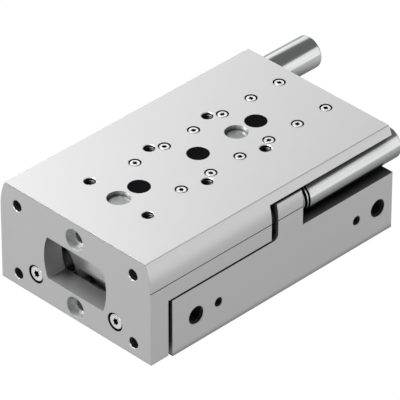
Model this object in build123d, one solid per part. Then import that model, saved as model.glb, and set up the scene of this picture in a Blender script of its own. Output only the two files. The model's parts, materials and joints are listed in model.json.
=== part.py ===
from build123d import *
from math import asin, degrees
import os

# Pneumatic slide table: two cylinders side by side push a table that runs on ball guides.
# Millimetres. The origin is on the base, on the axis of the middle mounting hole.
# X runs across the slide, +Y to its rear and +Z up. The table moves out towards -Y.

# Cylinders and stroke
stroke = 80.0
cylinder_bore = 25.0
cylinder_offset = 27.5
cylinder_height = 15.3
rod_diameter = 10.0

# Lengths, from the front face to the rear
front_to_origin = 83.2
plate_thickness = 11.7
front_gap = 2.8
housing_length = 152.4
table_length = 167.0
skirt_length = 69.9

# Heights, stacked from the base
crown_wall = 4.2
shelf_rise = 1.0
rail_floor_gap = 4.0
rail_height = 14.3
table_middle_thickness = 9.0
table_side_thickness = 5.0
plate_foot_height = 2.0
skirt_foot_gap = 1.2
wall_top_gap = 1.3
block_top_gap = 1.4

# Widths, stacked outwards from the middles of the rails
rail_offset = 16.0
rail_width = 10.0
ball_diameter = 4.0
ball_gap = 2.0
race_width = 6.2
channel_wall = 3.3
edge_cover = 0.9
side_gap = 0.7
pad_gap = 0.8

# Flank, the rounded shoulder along both sides
flank_radius = 36.4
flank_height = 15.3
seam_depth = 0.4
seam_height = 0.5
edge_break = 0.15
crease_width = 0.45
crease_drop = 0.25

# Window in the front plate
window_bottom = 17.2
window_top = 41.5
window_half_width = 19.2
window_bulge = 2.4
window_corner = 0.8

# Shock absorbers
absorber_diameter = 18.0
absorber_length = 92.8
absorber_wall_gap = 0.5
absorber_floor_gap = 1.3
sleeve_diameter = 16.0
sleeve_length = 21.0
sleeve_reach = 4.5
neck_diameter = 14.0
neck_start = 13.0
barrel_start = 25.4
barrel_collar = 1.3
barrel_collar_step = 0.2
barrel_groove = 1.2
barrel_groove_depth = 0.9
barrel_rear_round = 1.5
sleeve_face_break = 0.6
lock_nut_diameter = 16.6
lock_nut_thickness = 3.0
lock_nut_slots = 4
lock_nut_slot_width = 2.5
lock_nut_slot_depth = 1.0
lock_nut_first_slot = 45.0
buffer_diameter = 10.0
buffer_length = 5.0
buffer_face_break = 0.8
plunger_diameter = 5.0
plunger_length = 50.0
plunger_travel = 12.0
end_plug_diameter = 12.0
end_plug_thickness = 3.4
end_plug_inset = 0.4
end_plug_socket = 6.0
block_length = 17.1
left_block_length = 17.7
block_foot_radius = 3.0

# Guide
rail_length = 120.0
rail_rear_gap = 1.0
rail_screw_pitch = 20.0
rail_screw_count = 6
race_end_gap = 2.2
race_height = 15.0
race_screw_pitch = 30.0
race_screw_count = 5
cage_thickness = 1.0
cage_height = 6.0
cage_end_gap = 0.75
ball_pitch = 8.0
ball_row_rise = 8.0

# Holes that other parts fasten to
thread_6_diameter = 6.0
thread_8_diameter = 8.0
thread_5_diameter = 5.0
port_diameter = 9.7
port_depth = 9.0
centring_diameter = 12.0
centring_depth = 2.6
table_thread_setback = 29.6
table_thread_pitch = 40.0
table_thread_spacing = 40.0
table_thread_depth = 7.5
plate_thread_spacing = 80.0
plate_thread_low = 9.4
plate_thread_high = 49.3
plate_centring_depth = 4.0
plate_centring_bore = 6.6
mounting_pitch = 40.0
mounting_through_diameter = 6.8
mounting_head_diameter = 11.0
mounting_head_depth = 7.0
base_thread_depth = 12.0
access_hole_diameter = 11.0
access_plug_thickness = 4.0
front_port_setback = 16.0
rear_port_setback = 10.2
port_rise = 0.9
port_passage_diameter = 4.0
side_thread_step = 15.1
side_thread_depth = 8.0
sensor_slot_diameter = 4.0
sensor_slot_mouth = 2.8
sensor_slot_lip = 1.2
sensor_slot_spread = 6.5
pocket_wall = 1.6
pocket_bottom = 8.0
pocket_top = 18.8
pocket_depth = 8.0
pocket_corner = 2.0

# Screws
rail_screw_diameter = 3.0
rail_screw_head = 5.5
rail_screw_head_height = 3.0
rail_screw_recess = 6.6
rail_screw_sink = 0.2
rail_screw_grip = 8.0
race_screw_diameter = 2.5
race_screw_head = 4.5
race_screw_head_height = 2.5
race_screw_grip = 3.0
rod_screw_diameter = 5.0
rod_screw_head = 8.5
rod_screw_head_height = 5.0
rod_screw_recess = 10.0
rod_screw_sink = 0.4
rod_screw_grip = 12.0
rod_screw_hole = 5.5
stop_screw_diameter = 2.0
stop_screw_head = 5.0
stop_screw_head_height = 1.5
stop_screw_grip = 5.0
stop_screw_inset = 1.4
stop_screw_rise = 4.5
socket_share = 0.5
head_break_share = 0.1
lobe_count = 6
mouth_chamfer = 0.3
drill_tip_share = 0.6

# Bearing caps, end caps and pistons
cap_setback = 6.4
cap_flange_length = 6.8
cap_neck_length = 9.5
cap_neck_diameter = 18.0
seal_diameter = 16.0
seal_length = 4.2
bush_wall = 1.0
ring_thickness = 1.2
ring_groove_depth = 0.7
ring_section = 2.2
ring_gap = 8.0
ring_eye_radius = 2.0
ring_eye_hole = 0.8
end_cap_setback = 3.3
end_cap_flange_length = 4.5
end_cap_nose_length = 7.0
end_cap_nose_diameter = 16.0
end_cap_socket = 8.0
end_cap_socket_depth = 3.0
piston_length = 16.0
piston_stop_gap = 0.3
piston_spigot_diameter = 8.0
piston_relief = 0.4
o_ring_width = 1.8
o_ring_depth = 1.2
piston_seal_width = 2.0
piston_seal_depth = 2.5
piston_seal_margin = 2.0
magnet_width = 3.0
magnet_depth = 3.0

# Clearances, and how far a cutter runs past the face that it opens
running_clearance = 0.05
seat_clearance = 0.02
head_clearance = 0.3
over = 1.0

# Heights worked out from the stack
bore_radius = cylinder_bore / 2
floor_height = cylinder_height + bore_radius + crown_wall
shelf_height = floor_height + shelf_rise
rail_bottom = floor_height + rail_floor_gap
rail_top = rail_bottom + rail_height
table_top = rail_top + table_middle_thickness
side_underside = table_top - table_side_thickness
flank_start = table_top - flank_height
skirt_foot = shelf_height + skirt_foot_gap
wall_top = rail_top - wall_top_gap
block_top = side_underside - block_top_gap
absorber_radius = absorber_diameter / 2
absorber_height = shelf_height + absorber_radius + absorber_floor_gap
ball_radius = ball_diameter / 2
ball_height = floor_height + ball_row_rise

# Widths worked out from the stack
rail_inner = rail_offset - rail_width / 2
rail_outer = rail_offset + rail_width / 2
ball_offset = rail_outer + ball_gap / 2
race_inner = rail_outer + ball_gap
channel_half_width = race_inner + race_width
wall_outer = channel_half_width + channel_wall
absorber_offset = wall_outer + absorber_wall_gap + absorber_radius
half_width = absorber_offset + absorber_radius + edge_cover
side_inner = wall_outer + side_gap
middle_half_width = wall_outer - pad_gap
race_screw_offset = race_inner + race_width / 2

# Places along Y
front_face = -front_to_origin
plate_back = front_face + plate_thickness
housing_front = plate_back + front_gap
housing_rear = housing_front + housing_length
table_rear = front_face + table_length
skirt_rear = plate_back + skirt_length
right_block_front = skirt_rear + sleeve_reach
right_block_rear = right_block_front + block_length
left_block_rear = housing_front + left_block_length
left_stop_face = left_block_rear + stroke
left_lug_front = left_stop_face + sleeve_reach
left_lug_rear = left_lug_front + block_length
rail_rear = table_rear - rail_rear_gap
rail_front = rail_rear - rail_length
race_front = housing_front + race_end_gap
race_rear = housing_rear - race_end_gap
cage_length = rail_rear - stroke - race_front - cage_end_gap * 2
cage_middle = (race_front + rail_rear) / 2
front_port_y = housing_front + front_port_setback
rear_port_y = housing_rear - rear_port_setback
port_height = cylinder_height + port_rise
cap_front = housing_front + cap_setback
end_cap_rear = housing_rear - end_cap_setback
end_cap_flange_front = end_cap_rear - end_cap_flange_length
end_cap_front = end_cap_flange_front - end_cap_nose_length
piston_rear = end_cap_front - piston_stop_gap
piston_front = piston_rear - piston_length
ring_groove_radius = bore_radius + ring_groove_depth
table_thread_rows = [front_face + table_thread_setback + row * table_thread_pitch for row in range(3)]
mounting_rows = [row * mounting_pitch for row in (-1, 0, 1)]
side_signs = {"left": -1, "right": 1}

# Directions in which the mouth of a hole or the head of a screw can face
face_front = Rot(90, 0, 0)
face_rear = Rot(-90, 0, 0)
face_right = Rot(0, 90, 0)


# Shapes that many pieces share
def block(x, y, z):
    # A box from three pairs of limits
    spans = (x, y, z)
    middle = [(low + high) / 2 for low, high in spans]
    size = [high - low for low, high in spans]
    return Pos(*middle) * Box(*size)


def bar_along_y(x, z, front, rear, radius):
    return Pos(x, (front + rear) / 2, z) * Rot(90, 0, 0) * Cylinder(radius, rear - front)


def bar_along_z(x, y, bottom, top, radius):
    return Pos(x, y, (bottom + top) / 2) * Cylinder(radius, top - bottom)


def bar_along_x(y, z, left, right, radius):
    return Pos((left + right) / 2, y, z) * Rot(0, 90, 0) * Cylinder(radius, right - left)


def prism(section, front, rear):
    # A section drawn in X and Z, carried from front to rear
    return extrude(Plane.XZ.offset(-rear) * section, amount=rear - front)


def turned(x, z, outline):
    # A piece turned about a line along Y, from (radius, y) corners
    face = make_face(Polyline(*outline, close=True))
    return Pos(x, 0, z) * revolve(face, Axis.Y, 360)


def ring_along_y(x, z, front, rear, inner_radius, outer_radius):
    corners = [(inner_radius, front), (outer_radius, front), (outer_radius, rear), (inner_radius, rear)]
    return turned(x, z, corners)


def rectangle_between(x, z):
    middle = Pos((x[0] + x[1]) / 2, (z[0] + z[1]) / 2)
    return middle * Rectangle(x[1] - x[0], z[1] - z[0])


def hole_cutter(diameter, depth, blind=True):
    # Mouth at the origin and open towards +Z, with a small chamfer round the mouth
    radius = diameter / 2
    mouth = radius + mouth_chamfer
    tip = depth + radius * drill_tip_share if blind else depth
    corners = [(0, over), (mouth, over), (mouth, 0), (radius, -mouth_chamfer), (radius, -depth), (0, -tip)]
    face = make_face(Plane.XZ * Polyline(*corners, close=True))
    return revolve(face, Axis.Z, 360)


def hexagon_socket(head_diameter):
    return RegularPolygon(head_diameter * socket_share / 2, 6)


def lobed_socket(head_diameter):
    # A round core with lobes spaced evenly round it
    reach = head_diameter * socket_share / 2
    lobe_radius = reach / 4
    lobes = PolarLocations(reach - lobe_radius, lobe_count) * Circle(lobe_radius)
    return Circle(reach - lobe_radius) + lobes


def socket_screw(diameter, length, head_diameter, head_height, socket=hexagon_socket):
    # Head top at the origin, shank towards -Z, with the edge of the head broken
    head_radius = head_diameter / 2
    shank_radius = diameter / 2 - seat_clearance
    edge = head_diameter * head_break_share / 2
    corners = [
        (0, 0),
        (head_radius - edge, 0),
        (head_radius, -edge),
        (head_radius, -head_height),
        (shank_radius, -head_height),
        (shank_radius, -head_height - length),
        (0, -head_height - length),
    ]
    screw = revolve(make_face(Plane.XZ * Polyline(*corners, close=True)), Axis.Z, 360)
    return screw - extrude(socket(head_diameter), amount=-head_height * socket_share)


# The outline that the table, its front plate and the housing blocks share
def body_section(bottom, top):
    flank_middle = half_width - flank_radius
    angle = degrees(asin((top - crease_drop - flank_start) / flank_radius))
    flank = CenterArc((flank_middle, flank_start), flank_radius, 0, angle)
    crease = flank @ 1
    lower = Polyline((0, bottom), (half_width, bottom), (half_width, flank_start))
    upper = Polyline(crease, (crease.X - crease_width, top), (0, top), (0, bottom))
    right_half = make_face(Curve() + [lower, flank, upper])
    return right_half + mirror(right_half, Plane.YZ)


def side_block(sign, front, rear, inner, bottom, top):
    # One side of the shared outline, cut off at an inner wall
    limits = sorted((sign * inner, sign * (half_width + over)))
    section = body_section(bottom, top) & rectangle_between(limits, (bottom, top))
    return prism(section, front, rear)


def seam_groove(sign, front, rear):
    # The fine line where the rounded flank meets the straight side
    limits = sorted((sign * (half_width - seam_depth), sign * (half_width + over)))
    return block(limits, (front, rear), (flank_start - seam_height, flank_start))


# Housing with its cylinders, guide channel, ports and mounting holes
def housing_body():
    base = block((-half_width, half_width), (housing_front, housing_rear), (0, shelf_height))
    corners = base.edges().filter_by(Axis.Z)
    base = chamfer(corners + base.edges().group_by(Axis.Z)[0], edge_break)
    walls = block((-wall_outer, wall_outer), (housing_front, housing_rear), (floor_height, wall_top))
    channel = block(
        (-channel_half_width, channel_half_width),
        (housing_front - over, housing_rear + over),
        (floor_height, wall_top + over),
    )
    body = base + walls - channel
    right_block = side_block(1, right_block_front, right_block_rear, wall_outer, floor_height, block_top)
    left_block = side_block(-1, housing_front, left_block_rear, wall_outer, floor_height, block_top)
    body = body + right_block + left_block
    body = body + foot_fillet(1, right_block_front, -1) + foot_fillet(-1, left_block_rear, 1)
    body = body - seam_groove(1, right_block_front - over, right_block_rear + over)
    body = body - seam_groove(-1, housing_front - over, left_block_rear + over)
    for sign in (-1, 1):
        body = body - cylinder_cutter(sign)
        body = body - sensor_slot(sign)
    sleeve_radius = sleeve_diameter / 2 + seat_clearance
    body = body - bar_along_y(
        absorber_offset, absorber_height, right_block_front - over, right_block_rear + over, sleeve_radius
    )
    body = body - front_pocket()
    for y in mounting_rows:
        body = body - mounting_hole_cutter(y)
    for y, inward in ((front_port_y, 1), (rear_port_y, -1)):
        body = body - port_cutter(y)
        side_thread = hole_cutter(thread_5_diameter, side_thread_depth)
        body = body - Pos(half_width, y + inward * side_thread_step, port_height) * face_right * side_thread
    thread_bottom = floor_height - race_screw_grip - head_clearance
    for sign in (-1, 1):
        for y in race_screw_rows():
            x = sign * race_screw_offset
            body = body - bar_along_z(x, y, thread_bottom, floor_height + over, race_screw_diameter / 2)
    return body


def foot_fillet(sign, block_face, outward):
    # The rounded inner corner where a block stands on the shelf
    radius = block_foot_radius
    near, far = sorted((block_face, block_face + outward * radius))
    limits = sorted((sign * wall_outer, sign * half_width))
    corner = block(limits, (near, far), (shelf_height, shelf_height + radius))
    round_y = block_face + outward * radius
    round_off = bar_along_x(round_y, shelf_height + radius, limits[0] - over, limits[1] + over, radius)
    return corner - round_off


def cylinder_cutter(sign):
    # One cylinder with the grooves of its two retaining rings
    x = sign * cylinder_offset
    bore = bar_along_y(x, cylinder_height, housing_front - over, housing_rear + over, bore_radius)
    front_groove = bar_along_y(
        x, cylinder_height, cap_front - ring_thickness - seat_clearance, cap_front, ring_groove_radius
    )
    rear_groove = bar_along_y(
        x, cylinder_height, end_cap_rear, end_cap_rear + ring_thickness + seat_clearance, ring_groove_radius
    )
    return bore + front_groove + rear_groove


def sensor_slot(sign):
    # A round slot with a narrower mouth, on the side away from the ports
    radius = sensor_slot_diameter / 2
    depth = sensor_slot_lip + radius
    z = cylinder_height + sign * sensor_slot_spread
    front, rear = housing_front - over, housing_rear + over
    mouth_half = sensor_slot_mouth / 2
    mouth = block((-half_width - over, depth - half_width), (front, rear), (z - mouth_half, z + mouth_half))
    return mouth + bar_along_y(depth - half_width, z, front, rear, radius)


def front_pocket():
    width = (cylinder_offset - bore_radius - pocket_wall) * 2
    height = pocket_top - pocket_bottom
    outline = Pos(0, pocket_bottom + height / 2) * RectangleRounded(width, height, pocket_corner)
    return prism(outline, housing_front - over, housing_front + pocket_depth)


def mounting_hole_cutter(y):
    # Counterbored from the channel for a screw, threaded from the base for one from below
    through = bar_along_z(0, y, -over, floor_height + over, mounting_through_diameter / 2)
    head_seat = floor_height - mounting_head_depth
    head = bar_along_z(0, y, head_seat, floor_height + over, mounting_head_diameter / 2)
    thread = bar_along_z(0, y, -over, base_thread_depth, thread_8_diameter / 2)
    cutter = through + head + thread
    if y != 0:
        cutter = cutter + bar_along_z(0, y, -over, centring_depth, centring_diameter / 2)
    return cutter


def port_cutter(y):
    # A port from the right side, with the passage that feeds both cylinders
    port = Pos(half_width, y, port_height) * face_right * hole_cutter(port_diameter, port_depth)
    passage_end = bore_radius - cylinder_offset - over
    passage = bar_along_x(y, port_height, passage_end, half_width - port_depth, port_passage_diameter / 2)
    return port + passage


# Table: top plate, front plate, right skirt and left lug in one piece
def slide_table():
    plate = prism(body_section(plate_foot_height, table_top), front_face, plate_back)
    top = prism(body_section(plate_foot_height, table_top), plate_back, table_rear)
    top = top - block(
        (-half_width - over, half_width + over),
        (plate_back, table_rear + over),
        (plate_foot_height - over, side_underside),
    )
    body = plate + top
    end_faces = body.faces().sort_by(Axis.Y)
    outline = end_faces[0].outer_wire().edges() + end_faces[-1].outer_wire().edges()
    body = chamfer(outline, edge_break)
    middle = block(
        (-middle_half_width, middle_half_width),
        (plate_back - over, table_rear),
        (rail_top, side_underside + over),
    )
    skirt = side_block(1, plate_back - over, skirt_rear, side_inner, skirt_foot, side_underside + over)
    lug = side_block(-1, left_lug_front, left_lug_rear, side_inner, skirt_foot, side_underside + over)
    body = body + middle + skirt + lug
    body = body - seam_groove(1, front_face - over, skirt_rear + over)
    body = body - seam_groove(-1, front_face - over, plate_back + over)
    body = body - seam_groove(-1, left_lug_front - over, left_lug_rear + over)
    sleeve_radius = sleeve_diameter / 2 + seat_clearance
    body = body - bar_along_y(
        -absorber_offset, absorber_height, left_lug_front - over, left_lug_rear + over, sleeve_radius
    )
    body = body - plate_window()
    return body - top_holes() - plate_holes()


def plate_window():
    middle_height = (window_bottom + window_top) / 2
    lower_right = (window_half_width, window_bottom)
    upper_right = (window_half_width, window_top)
    widest = (window_half_width + window_bulge, middle_height)
    side = ThreePointArc(lower_right, widest, upper_right)
    rest = Polyline(upper_right, (0, window_top), (0, window_bottom), lower_right)
    right_half = make_face(Curve() + [side, rest])
    opening = right_half + mirror(right_half, Plane.YZ)
    corners = [vertex for vertex in opening.vertices() if abs(vertex.X) > window_half_width / 2]
    opening = fillet(corners, window_corner)
    return prism(opening, front_face - over, plate_back + over)


def top_holes():
    thread = hole_cutter(thread_6_diameter, table_thread_depth, blind=False)
    cutters = []
    for y in table_thread_rows:
        for sign in (-1, 1):
            cutters.append(Pos(sign * table_thread_spacing / 2, y, table_top) * thread)
    for y in (table_thread_rows[0], table_thread_rows[2]):
        cutters.append(bar_along_z(0, y, table_top - centring_depth, table_top + over, centring_diameter / 2))
    access = hole_cutter(access_hole_diameter, table_middle_thickness + over, blind=False)
    for y in mounting_rows:
        cutters.append(Pos(0, y, table_top) * access)
    head_seat = table_top - rail_screw_sink - rail_screw_head_height
    for sign in (-1, 1):
        for y in rail_screw_rows():
            x = sign * rail_offset
            cutters.append(bar_along_z(x, y, head_seat, table_top + over, rail_screw_recess / 2))
            cutters.append(bar_along_z(x, y, rail_top - over, head_seat + over, rail_screw_diameter / 2))
    return cutters


def plate_holes():
    thread = face_front * hole_cutter(thread_6_diameter, plate_thickness + over, blind=False)
    cutters = []
    for z in (plate_thread_low, plate_thread_high):
        for sign in (-1, 1):
            cutters.append(Pos(sign * plate_thread_spacing / 2, front_face, z) * thread)
        seat = front_face + plate_centring_depth
        cutters.append(bar_along_y(0, z, front_face - over, seat, centring_diameter / 2))
        cutters.append(bar_along_y(0, z, seat - over, plate_back + over, plate_centring_bore / 2))
    head_seat = front_face + rod_screw_sink + rod_screw_head_height
    for sign in (-1, 1):
        x = sign * cylinder_offset
        z = cylinder_height
        cutters.append(bar_along_y(x, z, front_face - over, head_seat, rod_screw_recess / 2))
        cutters.append(bar_along_y(x, z, head_seat - over, plate_back + over, rod_screw_hole / 2))
    return cutters


def access_hole_plugs():
    radius = access_hole_diameter / 2 - seat_clearance
    bottom = table_top - access_plug_thickness
    return [bar_along_z(0, y, bottom, table_top, radius) for y in mounting_rows]


# Guide rails, races, cages and balls
def rail_screw_rows():
    middle = (rail_front + rail_rear) / 2
    first = middle - (rail_screw_count - 1) * rail_screw_pitch / 2
    return [first + place * rail_screw_pitch for place in range(rail_screw_count)]


def race_screw_rows():
    middle = (race_front + race_rear) / 2
    first = middle - (race_screw_count - 1) * race_screw_pitch / 2
    return [first + place * race_screw_pitch for place in range(race_screw_count)]


def ball_groove(sign, front, rear):
    x = sign * ball_offset
    return bar_along_y(x, ball_height, front - over, rear + over, ball_radius + running_clearance)


def guide_rail(sign):
    limits = sorted((sign * rail_inner, sign * rail_outer))
    rail = block(limits, (rail_front, rail_rear), (rail_bottom, rail_top))
    rail = rail - ball_groove(sign, rail_front, rail_rear)
    thread_bottom = rail_top - rail_screw_grip - head_clearance
    for y in rail_screw_rows():
        x = sign * rail_offset
        rail = rail - bar_along_z(x, y, thread_bottom, rail_top + over, rail_screw_diameter / 2)
    return rail


def rail_screws(sign):
    length = table_middle_thickness - rail_screw_sink - rail_screw_head_height + rail_screw_grip
    screw = socket_screw(rail_screw_diameter, length, rail_screw_head, rail_screw_head_height)
    head_top = table_top - rail_screw_sink
    return [Pos(sign * rail_offset, y, head_top) * screw for y in rail_screw_rows()]


def outer_race(sign):
    limits = sorted((sign * race_inner, sign * channel_half_width))
    race = block(limits, (race_front, race_rear), (floor_height, floor_height + race_height))
    race = race - ball_groove(sign, race_front, race_rear)
    x = sign * race_screw_offset
    race_top = floor_height + race_height
    head_seat = race_top - race_screw_head_height - head_clearance
    for y in race_screw_rows():
        head = bar_along_z(x, y, head_seat, race_top + over, race_screw_head / 2 + head_clearance)
        shank = bar_along_z(x, y, floor_height - over, head_seat + over, race_screw_diameter / 2)
        race = race - head - shank
    for end in (race_front, race_rear):
        race = race - stop_screw_bar(sign, end - stop_screw_grip, end + stop_screw_grip, 0)
    return race


def stop_screw_bar(sign, front, rear, clearance):
    x = sign * (race_inner + stop_screw_inset)
    radius = stop_screw_diameter / 2 - clearance
    return bar_along_y(x, ball_height + stop_screw_rise, front, rear, radius)


def outer_race_screws():
    head_top = floor_height + race_height - head_clearance
    length = race_height - head_clearance - race_screw_head_height + race_screw_grip
    screw = socket_screw(race_screw_diameter, length, race_screw_head, race_screw_head_height)
    places = [(sign * race_screw_offset, y) for sign in (-1, 1) for y in race_screw_rows()]
    return [Pos(x, y, head_top) * screw for x, y in places]


def cage_stop_screws():
    # Small screws in the race ends, whose heads keep the cages from running out
    length = stop_screw_grip - head_clearance
    screw = socket_screw(stop_screw_diameter, length, stop_screw_head, stop_screw_head_height)
    screws = []
    for sign in (-1, 1):
        x = sign * (race_inner + stop_screw_inset)
        z = ball_height + stop_screw_rise
        screws.append(Pos(x, race_front - stop_screw_head_height, z) * face_front * screw)
        screws.append(Pos(x, race_rear + stop_screw_head_height, z) * face_rear * screw)
    return screws


def ball_rows():
    count = int(cage_length // ball_pitch)
    first = cage_middle - (count - 1) * ball_pitch / 2
    return [first + place * ball_pitch for place in range(count)]


def ball_cage(sign):
    limits = (sign * ball_offset - cage_thickness / 2, sign * ball_offset + cage_thickness / 2)
    span = (cage_middle - cage_length / 2, cage_middle + cage_length / 2)
    cage = block(limits, span, (ball_height - cage_height / 2, ball_height + cage_height / 2))
    for y in ball_rows():
        pocket_radius = ball_radius + running_clearance
        cage = cage - bar_along_x(y, ball_height, limits[0] - over, limits[1] + over, pocket_radius)
    return cage


def cage_balls(sign):
    return [Pos(sign * ball_offset, y, ball_height) * Sphere(ball_radius) for y in ball_rows()]


# Cylinder parts
def bearing_cap(sign):
    outer = bore_radius - seat_clearance
    neck = cap_neck_diameter / 2
    seat = seal_diameter / 2
    bush_seat = rod_diameter / 2 + running_clearance + bush_wall
    seal_rear = cap_front + seal_length
    flange_rear = cap_front + cap_flange_length
    cap_rear = flange_rear + cap_neck_length
    corners = [
        (seat, cap_front),
        (outer, cap_front),
        (outer, flange_rear),
        (neck, flange_rear),
        (neck, cap_rear),
        (bush_seat, cap_rear),
        (bush_seat, seal_rear),
        (seat, seal_rear),
    ]
    groove_front, groove_rear = front_o_ring_span()
    groove = ring_along_y(0, 0, groove_front, groove_rear, bore_radius - o_ring_depth, bore_radius + over)
    return Pos(sign * cylinder_offset, 0, cylinder_height) * (turned(0, 0, corners) - groove)


def front_o_ring_span():
    front = cap_front + (cap_flange_length - o_ring_width) / 2
    return front, front + o_ring_width


def rear_o_ring_span():
    front = end_cap_flange_front + (end_cap_flange_length - o_ring_width) / 2
    return front, front + o_ring_width


def cylinder_o_rings():
    rings = []
    for sign in (-1, 1):
        for front, rear in (front_o_ring_span(), rear_o_ring_span()):
            inner = bore_radius - o_ring_depth + seat_clearance
            outer = bore_radius - seat_clearance
            rings.append(ring_along_y(sign * cylinder_offset, cylinder_height, front, rear, inner, outer))
    return rings


def rod_seals():
    inner = rod_diameter / 2 + running_clearance
    outer = seal_diameter / 2 - seat_clearance
    span = (cap_front, cap_front + seal_length)
    places = [sign * cylinder_offset for sign in (-1, 1)]
    return [ring_along_y(x, cylinder_height, *span, inner, outer) for x in places]


def rod_bushes():
    inner = rod_diameter / 2 + running_clearance
    outer = inner + bush_wall - seat_clearance
    span = (cap_front + seal_length, cap_front + cap_flange_length + cap_neck_length)
    places = [sign * cylinder_offset for sign in (-1, 1)]
    return [ring_along_y(x, cylinder_height, *span, inner, outer) for x in places]


def retaining_rings(front):
    # Sprung rings with two eyes for the pliers, open towards the base
    outer = ring_groove_radius - seat_clearance
    inner = outer - ring_section
    section = Circle(outer) - Circle(inner)
    section = section - Pos(0, -outer) * Rectangle(ring_gap, outer)
    for sign in (-1, 1):
        x = sign * (ring_gap / 2 + ring_eye_radius)
        z = -(inner**2 - x**2) ** 0.5 + ring_eye_radius / 2
        section = section + Pos(x, z) * Circle(ring_eye_radius)
        section = section - Pos(x, z) * Circle(ring_eye_hole)
    ring = prism(section, front, front + ring_thickness)
    return [Pos(sign * cylinder_offset, 0, cylinder_height) * ring for sign in (-1, 1)]


def end_cap(sign):
    outer = bore_radius - seat_clearance
    nose = end_cap_nose_diameter / 2
    corners = [
        (0, end_cap_front),
        (nose, end_cap_front),
        (nose, end_cap_flange_front),
        (outer, end_cap_flange_front),
        (outer, end_cap_rear),
        (0, end_cap_rear),
    ]
    groove_front, groove_rear = rear_o_ring_span()
    groove = ring_along_y(0, 0, groove_front, groove_rear, bore_radius - o_ring_depth, bore_radius + over)
    hexagon = RegularPolygon(end_cap_socket / 2, 6)
    socket = prism(hexagon, end_cap_rear - end_cap_socket_depth, end_cap_rear + over)
    return Pos(sign * cylinder_offset, 0, cylinder_height) * (turned(0, 0, corners) - groove - socket)


def piston_rod(sign):
    x = sign * cylinder_offset
    rod = bar_along_y(x, cylinder_height, plate_back, piston_front, rod_diameter / 2)
    spigot = bar_along_y(x, cylinder_height, piston_front - over, piston_rear, piston_spigot_diameter / 2)
    thread_rear = plate_back + rod_screw_grip + head_clearance
    thread = bar_along_y(x, cylinder_height, plate_back - over, thread_rear, rod_screw_diameter / 2)
    return rod + spigot - thread


def rod_screw(sign):
    length = plate_thickness - rod_screw_sink - rod_screw_head_height + rod_screw_grip
    screw = socket_screw(rod_screw_diameter, length, rod_screw_head, rod_screw_head_height, lobed_socket)
    head_top = front_face + rod_screw_sink
    return Pos(sign * cylinder_offset, head_top, cylinder_height) * face_front * screw


def seal_spans():
    front = piston_front + piston_seal_margin
    rear = piston_rear - piston_seal_margin
    return [(front, front + piston_seal_width), (rear - piston_seal_width, rear)]


def magnet_span():
    middle = (piston_front + piston_rear) / 2
    return middle - magnet_width / 2, middle + magnet_width / 2


def piston(sign):
    outer = bore_radius - piston_relief
    inner = piston_spigot_diameter / 2 + seat_clearance
    body = ring_along_y(0, 0, piston_front, piston_rear, inner, outer)
    for front, rear in seal_spans():
        body = body - ring_along_y(0, 0, front, rear, bore_radius - piston_seal_depth, bore_radius + over)
    front, rear = magnet_span()
    body = body - ring_along_y(0, 0, front, rear, bore_radius - magnet_depth, bore_radius + over)
    return Pos(sign * cylinder_offset, 0, cylinder_height) * body


def piston_seals():
    inner = bore_radius - piston_seal_depth + seat_clearance
    outer = bore_radius - running_clearance
    places = [(sign * cylinder_offset, span) for sign in (-1, 1) for span in seal_spans()]
    return [ring_along_y(x, cylinder_height, *span, inner, outer) for x, span in places]


def piston_magnets():
    inner = bore_radius - magnet_depth + seat_clearance
    outer = bore_radius - piston_relief
    places = [sign * cylinder_offset for sign in (-1, 1)]
    return [ring_along_y(x, cylinder_height, *magnet_span(), inner, outer) for x in places]


# Shock absorbers, each placed by its stop face, the front end of its sleeve
def absorber_barrel(x, stop_face):
    neck = neck_diameter / 2 - seat_clearance
    rod_bore = plunger_diameter / 2 + running_clearance
    plug_seat = end_plug_diameter / 2
    neck_front = stop_face + neck_start
    barrel_front = stop_face + barrel_start
    barrel_rear = stop_face + absorber_length
    bore_rear = stop_face + plunger_length + plunger_travel
    plug_front = barrel_rear - end_plug_thickness - end_plug_inset
    collar = absorber_radius - barrel_collar_step
    groove = absorber_radius - barrel_groove_depth
    groove_front = barrel_front + barrel_collar
    groove_rear = groove_front + barrel_groove
    corners = [
        (rod_bore, neck_front),
        (neck, neck_front),
        (neck, barrel_front),
        (collar, barrel_front),
        (collar, groove_front),
        (groove, groove_front),
        (groove, groove_rear),
        (absorber_radius, groove_rear),
        (absorber_radius, barrel_rear),
        (plug_seat, barrel_rear),
        (plug_seat, plug_front),
        (0, plug_front),
        (0, bore_rear),
        (rod_bore, bore_rear),
    ]
    barrel = turned(0, 0, corners)
    rear_rim = barrel.edges().filter_by(GeomType.CIRCLE).group_by(Axis.Y)[-1].sort_by(SortBy.RADIUS)[-1]
    return Pos(x, 0, absorber_height) * fillet(rear_rim, barrel_rear_round)


def absorber_sleeve(x, stop_face):
    outer = sleeve_diameter / 2
    cavity = buffer_diameter / 2 + head_clearance
    neck = neck_diameter / 2
    corners = [
        (cavity, stop_face),
        (outer - sleeve_face_break, stop_face),
        (outer, stop_face + sleeve_face_break),
        (outer, stop_face + sleeve_length),
        (neck, stop_face + sleeve_length),
        (neck, stop_face + neck_start - seat_clearance),
        (cavity, stop_face + neck_start - seat_clearance),
    ]
    return turned(x, absorber_height, corners)


def absorber_lock_nut(x, seat):
    nut = ring_along_y(0, 0, seat, seat + lock_nut_thickness, neck_diameter / 2, lock_nut_diameter / 2)
    slot_floor = lock_nut_diameter / 2 - lock_nut_slot_depth
    for turn in range(lock_nut_slots):
        slot = block(
            (slot_floor, lock_nut_diameter / 2 + over),
            (seat - over, seat + lock_nut_thickness + over),
            (-lock_nut_slot_width / 2, lock_nut_slot_width / 2),
        )
        nut = nut - Rot(0, lock_nut_first_slot + turn * 360 / lock_nut_slots, 0) * slot
    return Pos(x, 0, absorber_height) * nut


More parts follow.
